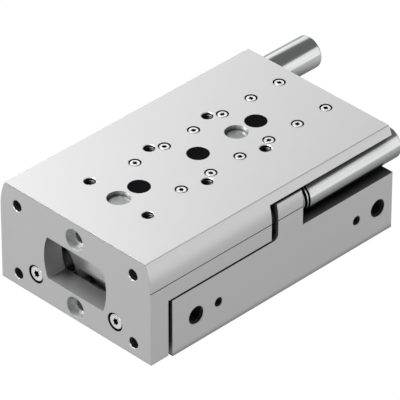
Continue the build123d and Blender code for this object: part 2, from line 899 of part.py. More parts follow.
def absorber_end_plug(x, stop_face):
    rear = stop_face + absorber_length - end_plug_inset
    plug = bar_along_y(0, 0, rear - end_plug_thickness, rear, end_plug_diameter / 2 - seat_clearance)
    hexagon = RegularPolygon(end_plug_socket / 2, 6)
    socket = prism(hexagon, rear - end_plug_thickness * socket_share, rear + over)
    return Pos(x, 0, absorber_height) * (plug - socket)


def absorber_plunger(x, stop_face):
    # Pressed right in: the buffer's face lies just inside the sleeve's end
    front = stop_face + seat_clearance
    buffer_radius = buffer_diameter / 2
    rod_radius = plunger_diameter / 2
    corners = [
        (0, front),
        (buffer_radius - buffer_face_break, front),
        (buffer_radius, front + buffer_face_break),
        (buffer_radius, front + buffer_length),
        (rod_radius, front + buffer_length),
        (rod_radius, front + plunger_length),
        (0, front + plunger_length),
    ]
    return turned(x, absorber_height, corners)


# Writing the pieces
def save(name, shapes):
    pieces = shapes if isinstance(shapes, list) else [shapes]
    solids = [solid for piece in pieces for solid in piece.solids()]
    shape = solids[0] if len(solids) == 1 else Compound(children=solids)
    shape.label = name
    export_step(shape, f"parts/{name}.step")


os.makedirs("parts", exist_ok=True)

save("housing", housing_body())
save("slide_table", slide_table())
save("access_hole_plugs", access_hole_plugs())
save("outer_race_screws", outer_race_screws())
save("cage_stop_screws", cage_stop_screws())
save("rod_seals", rod_seals())
save("rod_bushes", rod_bushes())
save("cylinder_o_rings", cylinder_o_rings())
save("front_retaining_rings", retaining_rings(cap_front - ring_thickness))
save("rear_retaining_rings", retaining_rings(end_cap_rear))
save("piston_seals", piston_seals())
save("piston_magnets", piston_magnets())

for side, sign in side_signs.items():
    save(f"{side}_outer_race", outer_race(sign))
    save(f"{side}_guide_rail", guide_rail(sign))
    save(f"{side}_rail_screws", rail_screws(sign))
    save(f"{side}_ball_cage", ball_cage(sign))
    save(f"{side}_cage_balls", cage_balls(sign))
    save(f"{side}_bearing_cap", bearing_cap(sign))
    save(f"{side}_end_cap", end_cap(sign))
    save(f"{side}_piston_rod", piston_rod(sign))
    save(f"{side}_piston", piston(sign))
    save(f"{side}_rod_screw", rod_screw(sign))

absorber_places = {
    "left": (-absorber_offset, left_stop_face, left_lug_rear, -plunger_travel),
    "right": (absorber_offset, skirt_rear, right_block_rear, 0),
}
for side, (x, stop_face, nut_seat, plunger_shift) in absorber_places.items():
    save(f"{side}_absorber_barrel", absorber_barrel(x, stop_face))
    save(f"{side}_absorber_sleeve", absorber_sleeve(x, stop_face))
    save(f"{side}_absorber_lock_nut", absorber_lock_nut(x, nut_seat))
    save(f"{side}_absorber_end_plug", absorber_end_plug(x, stop_face))
    save(f"{side}_absorber_plunger", Pos(0, plunger_shift, 0) * absorber_plunger(x, stop_face))
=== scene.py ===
import bmesh
import bpy
import json
import math
from mathutils import Matrix, Vector


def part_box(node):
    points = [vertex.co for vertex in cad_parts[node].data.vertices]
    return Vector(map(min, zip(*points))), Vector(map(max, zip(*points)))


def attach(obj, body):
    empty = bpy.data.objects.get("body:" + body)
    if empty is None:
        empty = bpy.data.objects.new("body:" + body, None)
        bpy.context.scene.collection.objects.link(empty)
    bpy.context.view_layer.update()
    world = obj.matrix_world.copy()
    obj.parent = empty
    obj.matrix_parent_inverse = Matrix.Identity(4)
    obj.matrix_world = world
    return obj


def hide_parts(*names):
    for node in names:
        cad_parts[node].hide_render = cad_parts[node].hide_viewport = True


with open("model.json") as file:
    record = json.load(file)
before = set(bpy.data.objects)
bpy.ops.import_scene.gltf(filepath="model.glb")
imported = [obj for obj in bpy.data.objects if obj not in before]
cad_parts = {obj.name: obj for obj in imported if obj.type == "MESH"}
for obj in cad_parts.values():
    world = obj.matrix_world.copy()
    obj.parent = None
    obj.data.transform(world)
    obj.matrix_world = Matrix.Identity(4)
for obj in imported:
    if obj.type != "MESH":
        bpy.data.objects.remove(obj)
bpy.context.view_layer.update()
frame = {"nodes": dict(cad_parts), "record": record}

cadNodes = frame["nodes"]
mm = 0.001
fullTurn = 2 * math.pi
print("frame loaded:", len(cadNodes), "nodes")


# Places read from the frame

def middleOf(node):
    low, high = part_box(node)
    return (low + high) / 2


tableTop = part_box("slide_table")[1].z
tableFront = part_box("slide_table")[0].y
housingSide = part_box("housing")[1].x
mountingRows = [-40 * mm, 0, 40 * mm]  # the origin is on the middle mounting hole
recordMounts = {mount["name"]: mount for mount in frame["record"]["mounts"]}


# Mesh helpers

def newPiece(name, bm, body, material, sharpAngle=32, replaced=()):
    # Welds the mesh, turns its faces outwards and hangs it on its body
    bmesh.ops.remove_doubles(bm, verts=bm.verts, dist=0.002 * mm)
    bmesh.ops.recalc_face_normals(bm, faces=bm.faces)
    for face in bm.faces:
        face.smooth = True
    for edge in bm.edges:
        edge.smooth = edge.calc_face_angle(0) < math.radians(sharpAngle)
    mesh = bpy.data.meshes.new(name)
    bm.to_mesh(mesh)
    bm.free()
    piece = bpy.data.objects.new(name, mesh)
    bpy.context.scene.collection.objects.link(piece)
    mesh.materials.append(material)
    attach(piece, body)
    if replaced:
        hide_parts(*replaced)


def turnProfile(bm, corners, steps=96, closed=True):
    # Corners are (radius, height); the profile is turned about Z. Returns the new vertices
    before = set(bm.verts)
    ring = [bm.verts.new((radius, 0, height)) for radius, height in corners]
    pairs = list(zip(ring, ring[1:] + ring[:1])) if closed else list(zip(ring, ring[1:]))
    edges = [bm.edges.new(pair) for pair in pairs]
    bmesh.ops.spin(
        bm, geom=ring + edges, cent=(0, 0, 0), axis=(0, 0, 1), angle=fullTurn, steps=steps, use_merge=True
    )
    return [vert for vert in bm.verts if vert not in before]


def placeVerts(bm, verts, place):
    bmesh.ops.transform(bm, matrix=place, verts=verts)


def facing(direction, point):
    # Puts local +Z along a direction, with the local origin at a point
    turn = Vector(direction).to_track_quat("Z", "Y").to_matrix().to_4x4()
    return Matrix.Translation(point) @ turn


def roundedCorners(corners, radius, picked, steps=3):
    # Breaks the picked corners of a profile with a small arc
    rounded = []
    for place, corner in enumerate(corners):
        if place not in picked:
            rounded.append(corner)
            continue
        here = Vector(corner)
        before = (Vector(corners[place - 1]) - here).normalized() * radius
        after = (Vector(corners[(place + 1) % len(corners)]) - here).normalized() * radius
        for step in range(steps + 1):
            share = step / steps
            low = (here + before).lerp(here, share)
            high = here.lerp(here + after, share)
            rounded.append(tuple(low.lerp(high, share)))
    return rounded


threadRidge = dict(foot=0.44, tip=0.07)  # half widths, as shares of the pitch


def helicalRidge(bm, rootRadius, crestRadius, pitch, depth, start, stepsPerTurn=28):
    # One thread ridge wound about Z from the start height downwards, closed at both ends
    before = set(bm.verts)
    turns = (depth - pitch) / pitch
    steps = int(turns * stepsPerTurn)
    foot, tip = threadRidge["foot"], threadRidge["tip"]
    shape = [(rootRadius, foot), (crestRadius, tip), (crestRadius, -tip), (rootRadius, -foot)]
    ring = [bm.verts.new((radius, 0, start + (share - 0.5) * pitch)) for radius, share in shape]
    edges = [bm.edges.new(pair) for pair in zip(ring, ring[1:] + ring[:1])]
    bmesh.ops.spin(
        bm, geom=ring + edges, cent=(0, 0, 0), axis=(0, 0, 1), dvec=(0, 0, -pitch / stepsPerTurn),
        angle=fullTurn * steps / stepsPerTurn, steps=steps,
    )
    made = [vert for vert in bm.verts if vert not in before]
    rims = {edge for vert in made for edge in vert.link_edges if edge.is_boundary}
    bmesh.ops.holes_fill(bm, edges=list(rims), sides=4)
    return made


# Materials: each one is a noise-driven Principled shader on Object coordinates, with shade painted into its
# color by an occlusion node where surfaces lie close

def addNode(tree, kind, place, **values):
    node = tree.nodes.new(kind)
    node.location = place
    for key, value in values.items():
        if hasattr(node, key):
            setattr(node, key, value)
        else:
            node.inputs[key.replace("_", " ")].default_value = value
    return node


def paintedLightMask(tree, coordinates, zone):
    # 1 inside the box that the zone's x, y and z give, 0 outside; it marks where light or shade is painted
    split = addNode(tree, "ShaderNodeSeparateXYZ", (-900, 700))
    tree.links.new(coordinates, split.inputs[0])
    mask = None
    for place, axis in enumerate("xyz"):
        low, high = zone[axis]
        inside = addNode(tree, "ShaderNodeMath", (-740, 900 - 160 * place), operation="COMPARE")
        inside.inputs[1].default_value = (low + high) / 2
        inside.inputs[2].default_value = (high - low) / 2
        tree.links.new(split.outputs[place], inside.inputs[0])
        if mask is None:
            mask = inside.outputs[0]
            continue
        both = addNode(tree, "ShaderNodeMath", (-580, 900 - 160 * place), operation="MULTIPLY")
        tree.links.new(mask, both.inputs[0])
        tree.links.new(inside.outputs[0], both.inputs[1])
        mask = both.outputs[0]
    return mask


paintedShadeShare = 0.03  # the share of its color that a closed crevice keeps under the painted shade


def surfaceFinish(name, look):
    material = bpy.data.materials.new(name)
    material.use_nodes = True
    tree = material.node_tree
    shader = tree.nodes["Principled BSDF"]
    shader.inputs["Metallic"].default_value = look["metallic"]
    shader.inputs["Specular IOR Level"].default_value = look.get("specular", 0.5)
    place = addNode(tree, "ShaderNodeTexCoord", (-1100, 0))
    stretch = addNode(tree, "ShaderNodeMapping", (-920, 0))
    stretch.inputs["Scale"].default_value = look.get("stretch", (1, 1, 1))
    grain = addNode(
        tree, "ShaderNodeTexNoise", (-720, 120), Scale=look["grainScale"], Detail=4, Roughness=0.6,
    )
    cloud = addNode(
        tree, "ShaderNodeTexNoise", (-720, -160), Scale=look["cloudScale"], Detail=3, Roughness=0.5,
    )
    link = tree.links.new
    link(place.outputs["Object"], stretch.inputs["Vector"])
    link(stretch.outputs["Vector"], grain.inputs["Vector"])
    link(place.outputs["Object"], cloud.inputs["Vector"])
    tone = addNode(tree, "ShaderNodeMix", (-440, 260), data_type="RGBA")
    tint = look["color"]
    spread = look["variation"]
    tone.inputs[6].default_value = [channel * (1 - spread) for channel in tint] + [1]
    tone.inputs[7].default_value = [min(1, channel * (1 + spread)) for channel in tint] + [1]
    link(cloud.outputs["Fac"], tone.inputs[0])
    # Painted shade: an occlusion node darkens the color in crevices, gaps, holes and under nearby parts, the
    # floor included
    crevice = addNode(tree, "ShaderNodeAmbientOcclusion", (-720, 480), samples=12)
    crevice.inputs["Distance"].default_value = look["paintedShadeReach"]
    openness = addNode(tree, "ShaderNodeMapRange", (-520, 480))
    openness.inputs["From Min"].default_value = look.get("paintedShadeDark", 0.3)
    openness.inputs["From Max"].default_value = look.get("paintedShadeClear", 0.8)
    shaded = addNode(tree, "ShaderNodeMix", (-240, 340), data_type="RGBA")
    shaded.inputs[6].default_value = [channel * paintedShadeShare for channel in tint] + [1]
    link(crevice.outputs["AO"], openness.inputs["Value"])
    link(openness.outputs["Result"], shaded.inputs[0])
    link(tone.outputs[2], shaded.inputs[7])
    color = shaded.outputs[2]
    # Painted light and shade: inside each zone's box the color is multiplied by its share
    for zone in look.get("paintedLightZones", ()):
        paintedZone = addNode(tree, "ShaderNodeMix", (-60, 520), data_type="RGBA", blend_type="MULTIPLY")
        paintedZone.inputs[7].default_value = [zone["share"]] * 3 + [1]
        link(paintedLightMask(tree, place.outputs["Object"], zone), paintedZone.inputs[0])
        link(color, paintedZone.inputs[6])
        color = paintedZone.outputs[2]
    link(color, shader.inputs["Base Color"])
    gloss = addNode(tree, "ShaderNodeMapRange", (-440, 0))
    gloss.inputs["To Min"].default_value = look["roughness"] - look["roughSpread"]
    gloss.inputs["To Max"].default_value = look["roughness"] + look["roughSpread"]
    link(grain.outputs["Fac"], gloss.inputs["Value"])
    link(gloss.outputs["Result"], shader.inputs["Roughness"])
    bump = addNode(tree, "ShaderNodeBump", (-440, -260), Strength=look["bump"], Distance=look["bumpDepth"])
    link(grain.outputs["Fac"], bump.inputs["Height"])
    link(bump.outputs["Normal"], shader.inputs["Normal"])
    return material


finishes = {
    "anodised_aluminium": dict(
        color=(0.70, 0.705, 0.70), metallic=0.75, roughness=0.34, roughSpread=0.05, variation=0.012,
        paintedShadeReach=0.006,
        grainScale=2600, cloudScale=30, bump=0.06, bumpDepth=0.00002,
    ),
    "chromed_steel": dict(
        color=(0.84, 0.85, 0.85), metallic=1, roughness=0.19, roughSpread=0.03, variation=0.01,
        # a long occlusion reach, so the barrels' undersides take painted shade from the floor and shelf
        paintedShadeReach=0.08, paintedShadeDark=0.42, paintedShadeClear=0.72,
        grainScale=400, cloudScale=40, stretch=(1, 14, 1), bump=0.03, bumpDepth=0.00001,
    ),
    "ground_steel": dict(
        color=(0.56, 0.57, 0.58), metallic=1, roughness=0.25, roughSpread=0.06, variation=0.03,
        paintedShadeReach=0.004,
        grainScale=1200, cloudScale=60, stretch=(1, 0.05, 1), bump=0.08, bumpDepth=0.00002,
    ),
    "plated_screws": dict(
        color=(0.94, 0.95, 0.95), metallic=0.8, roughness=0.32, roughSpread=0.05, variation=0.03,
        paintedShadeReach=0.001, paintedShadeDark=0.05, paintedShadeClear=0.45,
        grainScale=1500, cloudScale=300, bump=0.08, bumpDepth=0.00002,
    ),
    "dark_steel": dict(
        color=(0.10, 0.10, 0.105), metallic=1, roughness=0.34, roughSpread=0.06, variation=0.08,
        paintedShadeReach=0.004,
        grainScale=1500, cloudScale=200, bump=0.1, bumpDepth=0.00003,
    ),
    "turned_aluminium": dict(
        color=(0.62, 0.63, 0.63), metallic=1, roughness=0.3, roughSpread=0.06, variation=0.03,
        paintedShadeReach=0.004,
        grainScale=1800, cloudScale=90, bump=0.1, bumpDepth=0.00003,
    ),
    "black_plastic": dict(
        color=(0.003, 0.003, 0.0034), metallic=0, roughness=0.6, roughSpread=0.06, variation=0.15,
        paintedShadeReach=0.004,
        grainScale=3000, cloudScale=200, bump=0.12, bumpDepth=0.00003, specular=0.006,
    ),
    "cage_plastic": dict(
        color=(0.62, 0.60, 0.52), metallic=0, roughness=0.5, roughSpread=0.06, variation=0.05,
        paintedShadeReach=0.004,
        grainScale=2000, cloudScale=150, bump=0.12, bumpDepth=0.00003,
    ),
    "bush_bronze": dict(
        color=(0.48, 0.31, 0.13), metallic=1, roughness=0.42, roughSpread=0.08, variation=0.1,
        paintedShadeReach=0.004,
        grainScale=2500, cloudScale=400, bump=0.2, bumpDepth=0.00004,
    ),
    "seal_rubber": dict(
        color=(0.02, 0.02, 0.021), metallic=0, roughness=0.6, roughSpread=0.08, variation=0.12,
        paintedShadeReach=0.004,
        grainScale=2500, cloudScale=300, bump=0.2, bumpDepth=0.00004, specular=0.35,
    ),
    "magnet_plastic": dict(
        color=(0.06, 0.055, 0.052), metallic=0, roughness=0.55, roughSpread=0.08, variation=0.12,
        paintedShadeReach=0.004,
        grainScale=2500, cloudScale=300, bump=0.15, bumpDepth=0.00004, specular=0.4,
    ),
}
materials = {slot: surfaceFinish(slot + "_finish", look) for slot, look in finishes.items()}

# Other finishes of the same metals: threads, bores, recesses, rods, low barrel, nuts and table; the threads,
# bores, seats, top recesses, rods, low barrel and table carry painted light or shade
specialFinishes = {
    # dark thread walls and ridges: painted shade inside the holes
    "threadPaintedShade": dict(
        color=(0.045, 0.045, 0.047), metallic=1, roughness=0.4, roughSpread=0.05, variation=0.05,
        paintedShadeReach=0.001, paintedShadeDark=0.05, paintedShadeClear=0.5,
        grainScale=2600, cloudScale=200, bump=0.1, bumpDepth=0.00002,
    ),
    # dark port and side bores: painted shade inside the holes
    "borePaintedShade": dict(
        color=(0.045, 0.045, 0.048), metallic=1, roughness=0.4, roughSpread=0.06, variation=0.08,
        paintedShadeReach=0.002,
        grainScale=2600, cloudScale=200, bump=0.1, bumpDepth=0.00002,
    ),
    # darker turned aluminium for the top recesses: painted shade
    "turnedTopPaintedShade": dict(
        color=(0.47, 0.475, 0.475), metallic=1, roughness=0.4, roughSpread=0.05, variation=0.03,
        paintedShadeReach=0.003,
        grainScale=1800, cloudScale=300, bump=0.1, bumpDepth=0.00002,
    ),
    "turnedFront": dict(
        color=(0.6, 0.61, 0.61), metallic=0.8, roughness=0.45, roughSpread=0.05, variation=0.03,
        paintedShadeReach=0.001, paintedShadeDark=0.1, paintedShadeClear=0.5,
        grainScale=1800, cloudScale=300, bump=0.1, bumpDepth=0.00002,
    ),
    # a lighter, less metallic rod: painted light, so it shows a highlight in the dark bore
    "groundRodPaintedLight": dict(
        color=(0.9, 0.91, 0.91), metallic=0.85, roughness=0.28, roughSpread=0.04, variation=0.02,
        paintedShadeReach=0.003, paintedShadeDark=0, paintedShadeClear=0.25,
        grainScale=900, cloudScale=60, stretch=(1, 0.05, 1), bump=0.05, bumpDepth=0.00001,
    ),
}
# Chrome with a longer occlusion reach: more painted shade on the right barrel's underside
specialFinishes["chromedLow"] = dict(
    finishes["chromed_steel"], paintedShadeReach=0.13, paintedShadeDark=0.46, paintedShadeClear=0.86,
)
specialFinishes["nutSteel"] = dict(
    finishes["dark_steel"], color=(0.3, 0.305, 0.31), paintedShadeReach=0.002, paintedShadeDark=0.05, paintedShadeClear=0.4,
)
# near-black lining for the head seat gaps: painted shadow
specialFinishes["seatBore"] = dict(specialFinishes["borePaintedShade"], color=(0.012, 0.012, 0.013))
specialFinishes["rodHead"] = dict(finishes["plated_screws"], metallic=0.6, paintedShadeDark=0, paintedShadeClear=0.15)
windowWalls = (tableFront + 0.1 * mm, tableFront + 11.6 * mm)
# Zones of the table's skin where light and shade are painted: its color is multiplied by a share
specialFinishes["tablePaintedLight"] = dict(finishes["anodised_aluminium"], paintedLightZones=[
    dict(  # the broken edge over the front plate, darkened as painted shade that hides its highlight
        x=(-52 * mm, 52 * mm), y=(tableFront - 1 * mm, tableFront + 0.14 * mm),
        z=(tableTop - 0.25 * mm, tableTop + 1 * mm), share=0.25,
    ),
    dict(x=(-22 * mm, 22 * mm), y=windowWalls, z=(16 * mm, 43 * mm), share=0.5),  # the window, cut by milling, darkened as painted shade
    dict(x=(-22.2 * mm, -18.8 * mm), y=windowWalls, z=(17.4 * mm, 41.3 * mm), share=1.5),  # its left wall, lightened as painted light
])
special = {name: surfaceFinish(name + "_finish", look) for name, look in specialFinishes.items()}
# Nodes in another finish: the rods and the table with painted light and shade, the nuts in a lighter steel
finishOrPaintedLightFor = {
    "left_piston_rod": "groundRodPaintedLight", "right_piston_rod": "groundRodPaintedLight", "slide_table": "tablePaintedLight",
    "left_absorber_lock_nut": "nutSteel", "right_absorber_lock_nut": "nutSteel",
}

for subpart in frame["record"]["subparts"]:
    node = cadNodes[subpart["node"]]
    node.data.materials.clear()
    if subpart["node"] in finishOrPaintedLightFor:
        node.data.materials.append(special[finishOrPaintedLightFor[subpart["node"]]])
    else:
        node.data.materials.append(materials[subpart["material_slot"]])
print("materials ready:", len(materials) + len(special))


# Socket head screws: the twelve over the rails and the two that hold the piston rods

headMesh = dict(steps=48, edgeShare=0.8, flat=0.0001 * mm)


def screwHead(bm, screw, place):
    # Head top at the local origin, shank towards -Z, socket sunk into the head
    before = set(bm.verts)
    corners = [
        (screw["topRadius"], 0),
        (screw["headRadius"], -screw["edge"]),
        (screw["headRadius"], -screw["headHeight"]),
        (screw["shankRadius"], -screw["headHeight"]),
        (screw["shankRadius"], -screw["length"]),
        (0, -screw["length"]),
    ]
    rounded = roundedCorners(corners, screw["edge"] * headMesh["edgeShare"], (1, 2))
    turnProfile(bm, rounded, steps=headMesh["steps"], closed=False)
    rim = [edge for edge in bm.edges if edge.is_boundary and edge.verts[0] not in before]
    rim = [edge for edge in rim if all(abs(vert.co.z) < headMesh["flat"] for vert in edge.verts)]
    mouth = bmesh.ops.create_circle(bm, segments=headMesh["steps"], radius=screw["socketRadius"])["verts"]
    shapeSocket(mouth, screw)
    mouthEdges = list({edge for vert in mouth for edge in vert.link_edges})
    bmesh.ops.bridge_loops(bm, edges=rim + mouthEdges)
    wall = bmesh.ops.extrude_edge_only(bm, edges=mouthEdges)
    floorVerts = [item for item in wall["geom"] if isinstance(item, bmesh.types.BMVert)]
    bmesh.ops.translate(bm, vec=(0, 0, -screw["socketDepth"]), verts=floorVerts)
    floorEdges = [item for item in wall["geom"] if isinstance(item, bmesh.types.BMEdge)]
    floorEdges = [edge for edge in floorEdges if edge.is_boundary]
    bmesh.ops.holes_fill(bm, edges=floorEdges, sides=0)
    placeVerts(bm, [vert for vert in bm.verts if vert not in before], place)


def shapeSocket(mouth, screw):
    # Pulls a circle into a hexagon or into six lobes
    for vert in mouth:
        angle = math.atan2(vert.co.y, vert.co.x)
        if screw["lobes"]:
            share = 1 + screw["lobes"] * math.cos(6 * angle)
        else:
            within = (angle + math.pi / 6) % (math.pi / 3) - math.pi / 6
            share = math.cos(math.pi / 6) / math.cos(within)
        vert.co.xy = vert.co.xy * share


railScrew = dict(
    headRadius=2.52 * mm, topRadius=2.38 * mm, edge=0.14 * mm, headHeight=3.0 * mm, shankRadius=1.46 * mm,
    length=16.8 * mm, socketRadius=1.28 * mm, socketDepth=1.0 * mm, lobes=0, seatRadius=3.3 * mm,
    sunk=0.2 * mm, pitch=20 * mm, count=6,
    turnStep=0.7, leftTurn=0.3,  # no two sockets in a row stand alike
)
rodScrew = dict(
    headRadius=4.1 * mm, topRadius=3.8 * mm, edge=0.25 * mm, headHeight=5.0 * mm, shankRadius=2.46 * mm,
    length=23.3 * mm, socketRadius=1.65 * mm, socketDepth=0.5 * mm, lobes=0.16, seatRadius=5.0 * mm,
    sunk=0.4 * mm,
)
# Painted shadow: a near-black lining on the seat wall round each head
seatShadowLining = dict(inset=0.02 * mm, thickness=0.06 * mm, mouth=0.03 * mm)


def seatShadowWall(bm, screw, place):
    # A near-black lining on the bored wall round a head: painted shadow in the gap round it; the local
    # origin is the middle of the head's top
    outer = screw["seatRadius"] - seatShadowLining["inset"]
    inner = outer - seatShadowLining["thickness"]
    top = screw["sunk"] - seatShadowLining["mouth"]
    bottom = -screw["headHeight"] + seatShadowLining["mouth"]
    made = turnProfile(bm, [(outer, top), (outer, bottom), (inner, bottom), (inner, top)], steps=64)
    placeVerts(bm, made, place)


seatShadows = bmesh.new()

for side in ("left", "right"):
    low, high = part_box(side + "_rail_screws")
    x = (low.x + high.x) / 2
    rowsLength = (railScrew["count"] - 1) * railScrew["pitch"]
    firstRow = (low.y + high.y - rowsLength) / 2
    firstTurn = railScrew["leftTurn"] if side == "left" else 0
    heads = bmesh.new()
    for row in range(railScrew["count"]):
        point = (x, firstRow + row * railScrew["pitch"], high.z)
        turned = Matrix.Rotation(railScrew["turnStep"] * row + firstTurn, 4, "Z")
        screwHead(heads, railScrew, Matrix.Translation(point) @ turned)
        seatShadowWall(seatShadows, railScrew, Matrix.Translation(point))
    newPiece(
        side + "RailScrews", heads, "table_unit", materials["plated_screws"],
        replaced=[side + "_rail_screws"],
    )
    low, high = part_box(side + "_rod_screw")
    head = bmesh.new()
    place = facing((0, -1, 0), ((low.x + high.x) / 2, low.y, (low.z + high.z) / 2))
    screwHead(head, rodScrew, place)
    seatShadowWall(seatShadows, rodScrew, place)
    newPiece(
        side + "RodScrew", head, "table_unit", special["rodHead"],
        replaced=[side + "_rod_screw"],
    )
newPiece("screwSeatShadows", seatShadows, "table_unit", special["seatBore"])
print("screws made")


# Black plugs over the mounting screws, flush with the table

accessPlug = dict(
    radius=5.45 * mm, thickness=4 * mm, edge=0.35 * mm, dish=0.12 * mm, dishSlope=0.35 * mm, rim=0.7 * mm,
    flare=0.33 * mm, flareDepth=0.32 * mm,
)

plugs = bmesh.new()
for y in mountingRows:
    radius = accessPlug["radius"]
    rimInside = radius - accessPlug["rim"]
    profile = [
        (0, -accessPlug["dish"]),
        (rimInside - accessPlug["dishSlope"], -accessPlug["dish"]),
        (rimInside, 0),
        (radius + accessPlug["flare"], 0),
        (radius, -accessPlug["flareDepth"]),
        (radius, -accessPlug["thickness"]),
        (0, -accessPlug["thickness"]),
    ]
    made = turnProfile(plugs, roundedCorners(profile, accessPlug["edge"], (5,)), steps=96, closed=False)
    placeVerts(plugs, made, Matrix.Translation((0, y, tableTop)))
newPiece(
    "accessPlugs", plugs, "table_unit", materials["black_plastic"],
    replaced=["access_hole_plugs"],
)
print("plugs made")


# Shock absorbers: chromed barrels with a collar, and threaded sleeves

barrel = dict(
    radius=9 * mm, neckRadius=6.98 * mm, neckLength=12.95 * mm, rearRound=1.5 * mm, frontBreak=0.25 * mm,
    collar=0.75 * mm, collarDrop=0.2 * mm, groove=1.2 * mm, grooveDepth=0.9 * mm, plugRadius=6 * mm,
    plugDepth=3.85 * mm,
)
sleeve = dict(
    rootRadius=7.5 * mm, crestRadius=8 * mm, pitch=1.0 * mm, faceBreak=0.6 * mm, cavity=5.3 * mm,
    neckStart=12.9 * mm, ridgeSink=0.1 * mm,
    stopGap=0.03 * mm,  # left free at the stop
)

for side, body in (("left", "table_unit"), ("right", "housing_unit")):
    low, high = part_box(side + "_absorber_barrel")
    x, z = middleOf(side + "_absorber_barrel").xz
    rear = high.y - low.y
    front = barrel["neckLength"]
    radius = barrel["radius"]
    collarRadius = radius - barrel["collarDrop"]
    grooveRadius = radius - barrel["grooveDepth"]
    grooveStart = front + barrel["collar"]
    grooveEnd = grooveStart + barrel["groove"]
    profile = [
        (0, 0),
        (barrel["neckRadius"], 0),
        (barrel["neckRadius"], front),
        (collarRadius, front),
        (collarRadius, grooveStart),
        (grooveRadius, grooveStart),
        (grooveRadius, grooveEnd),
        (radius, grooveEnd),
        (radius, rear),
        (barrel["plugRadius"], rear),
        (barrel["plugRadius"], rear - barrel["plugDepth"]),
        (0, rear - barrel["plugDepth"]),
    ]
    profile = roundedCorners(profile, barrel["rearRound"], (8,), steps=6)
    profile = roundedCorners(profile, barrel["frontBreak"], (3, 4, 7), steps=3)
    tube = bmesh.new()
    turnProfile(tube, profile, steps=160, closed=False)
    placeVerts(tube, tube.verts, facing((0, 1, 0), (x, low.y, z)))
    # the right barrel lies close over the shelf and gets more painted shade on its underside
    chrome = special["chromedLow"] if side == "right" else materials["chromed_steel"]
    newPiece(
        side + "AbsorberBarrel", tube, body, chrome, replaced=[side + "_absorber_barrel"],
    )
    low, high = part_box(side + "_absorber_sleeve")
    length = high.y - low.y
    root, crest, pitch = sleeve["rootRadius"], sleeve["crestRadius"], sleeve["pitch"]
    shell = bmesh.new()
    profile = [
        (sleeve["cavity"], sleeve["stopGap"]),
        (crest - sleeve["faceBreak"], sleeve["stopGap"]),
        (root + sleeve["ridgeSink"], sleeve["faceBreak"]),
        (root, length),
        (barrel["neckRadius"], length),
        (barrel["neckRadius"], sleeve["neckStart"]),
        (sleeve["cavity"], sleeve["neckStart"]),
    ]
    turnProfile(shell, profile, steps=96)
    helicalRidge(shell, root - sleeve["ridgeSink"], crest, pitch, length - pitch, length - pitch)
    placeVerts(shell, shell.verts, facing((0, 1, 0), (x, low.y, z)))
    newPiece(
        side + "AbsorberSleeve", shell, body, materials["dark_steel"],
        replaced=[side + "_absorber_sleeve"],
    )
print("absorbers made")


# Threads in the holes: a lined wall with a wound ridge on it, both dark as painted shade inside the holes

threadSizes = {
    "M5": dict(root=2.52 * mm, crest=2.1 * mm, pitch=0.8 * mm),
    "M6": dict(root=3.02 * mm, crest=2.5 * mm, pitch=1.0 * mm),
    "M8": dict(root=4.02 * mm, crest=3.4 * mm, pitch=1.25 * mm),
    "G18": dict(root=4.87 * mm, crest=4.3 * mm, pitch=0.907 * mm),
}
# the lined wall carries the dark painted shade of the hole
lining = dict(inset=0.03 * mm, thickness=0.1 * mm, mouth=0.35 * mm)
holeDepth = dict(table=7.4 * mm, plate=11.5 * mm, side=7.8 * mm, port=8.8 * mm, base=9 * mm)
portPassage = 2 * mm
baseRecess = 2.6 * mm  # the outer base threads start in a centring recess


def threadedHoles(name, size, depth, holes, body, finish="threadPaintedShade", passage=None):
    # The passage is the radius of the hole that the floor leaves open: 0 for none, None for no floor
    thread = threadSizes[size]
    outer = thread["root"] - lining["inset"]
    inner = outer - lining["thickness"]
    top, bottom = -lining["mouth"], -depth
    if passage is None:
        profile = [(outer, top), (outer, bottom), (inner, bottom), (inner, top)]
    else:
        floor = bottom + lining["thickness"]
        profile = [
            (passage, floor), (inner, floor), (inner, top), (outer, top), (outer, bottom), (passage, bottom),
        ]
    bm = bmesh.new()
    for point, direction in holes:
        made = turnProfile(bm, profile, steps=64, closed=passage != 0)
        made += helicalRidge(bm, thread["root"], thread["crest"], thread["pitch"], depth + top, top)
        placeVerts(bm, made, facing(direction, point))
    newPiece(name, bm, body, special[finish])


def statedMount(mountName):
    # The middle and the axis of one of the record's mounts
    mount = recordMounts[mountName]
    return Vector(mount["pos_m"]), Vector(mount["axis"])


def halfSpacing(mountName, direction):
    # Half the distance between the holes of a pattern, in its own x or y
    return recordMounts[mountName]["dims"]["spacing_" + direction + "_mm"] * mm / 2


tableMiddle, tableAxis = statedMount("table_threads")
halfAcross, halfAlong = halfSpacing("table_threads", "x"), halfSpacing("table_threads", "y")
tableHoles = [
    ((acrossSign * halfAcross, tableMiddle.y + alongSign * halfAlong, tableTop), tableAxis)
    for acrossSign in (-1, 1) for alongSign in (-1, 0, 1)
]
threadedHoles("tableThreads", "M6", holeDepth["table"], tableHoles, "table_unit", passage=0)

plateMiddle, plateAxis = statedMount("plate_threads")
halfWide, halfHigh = halfSpacing("plate_threads", "x"), halfSpacing("plate_threads", "y")
plateHoles = [
    ((wideSign * halfWide, tableFront, plateMiddle.z + highSign * halfHigh), plateAxis)
    for wideSign in (-1, 1) for highSign in (-1, 1)
]
threadedHoles("plateThreads", "M6", holeDepth["plate"], plateHoles, "table_unit")

sideMiddle, sideAxis = statedMount("side_threads")
halfSide = halfSpacing("side_threads", "x")
sideHoles = [((housingSide, sideMiddle.y + sign * halfSide, sideMiddle.z), sideAxis) for sign in (-1, 1)]
threadedHoles("sideThreads", "M5", holeDepth["side"], sideHoles, "housing_unit", "borePaintedShade", passage=0)

ports = [statedMount(name) for name in ("port_retract", "port_extend")]
portHoles = [((housingSide, middle.y, middle.z), axis) for middle, axis in ports]
threadedHoles(
    "portThreads", "G18", holeDepth["port"], portHoles, "housing_unit", "borePaintedShade", passage=portPassage,
)

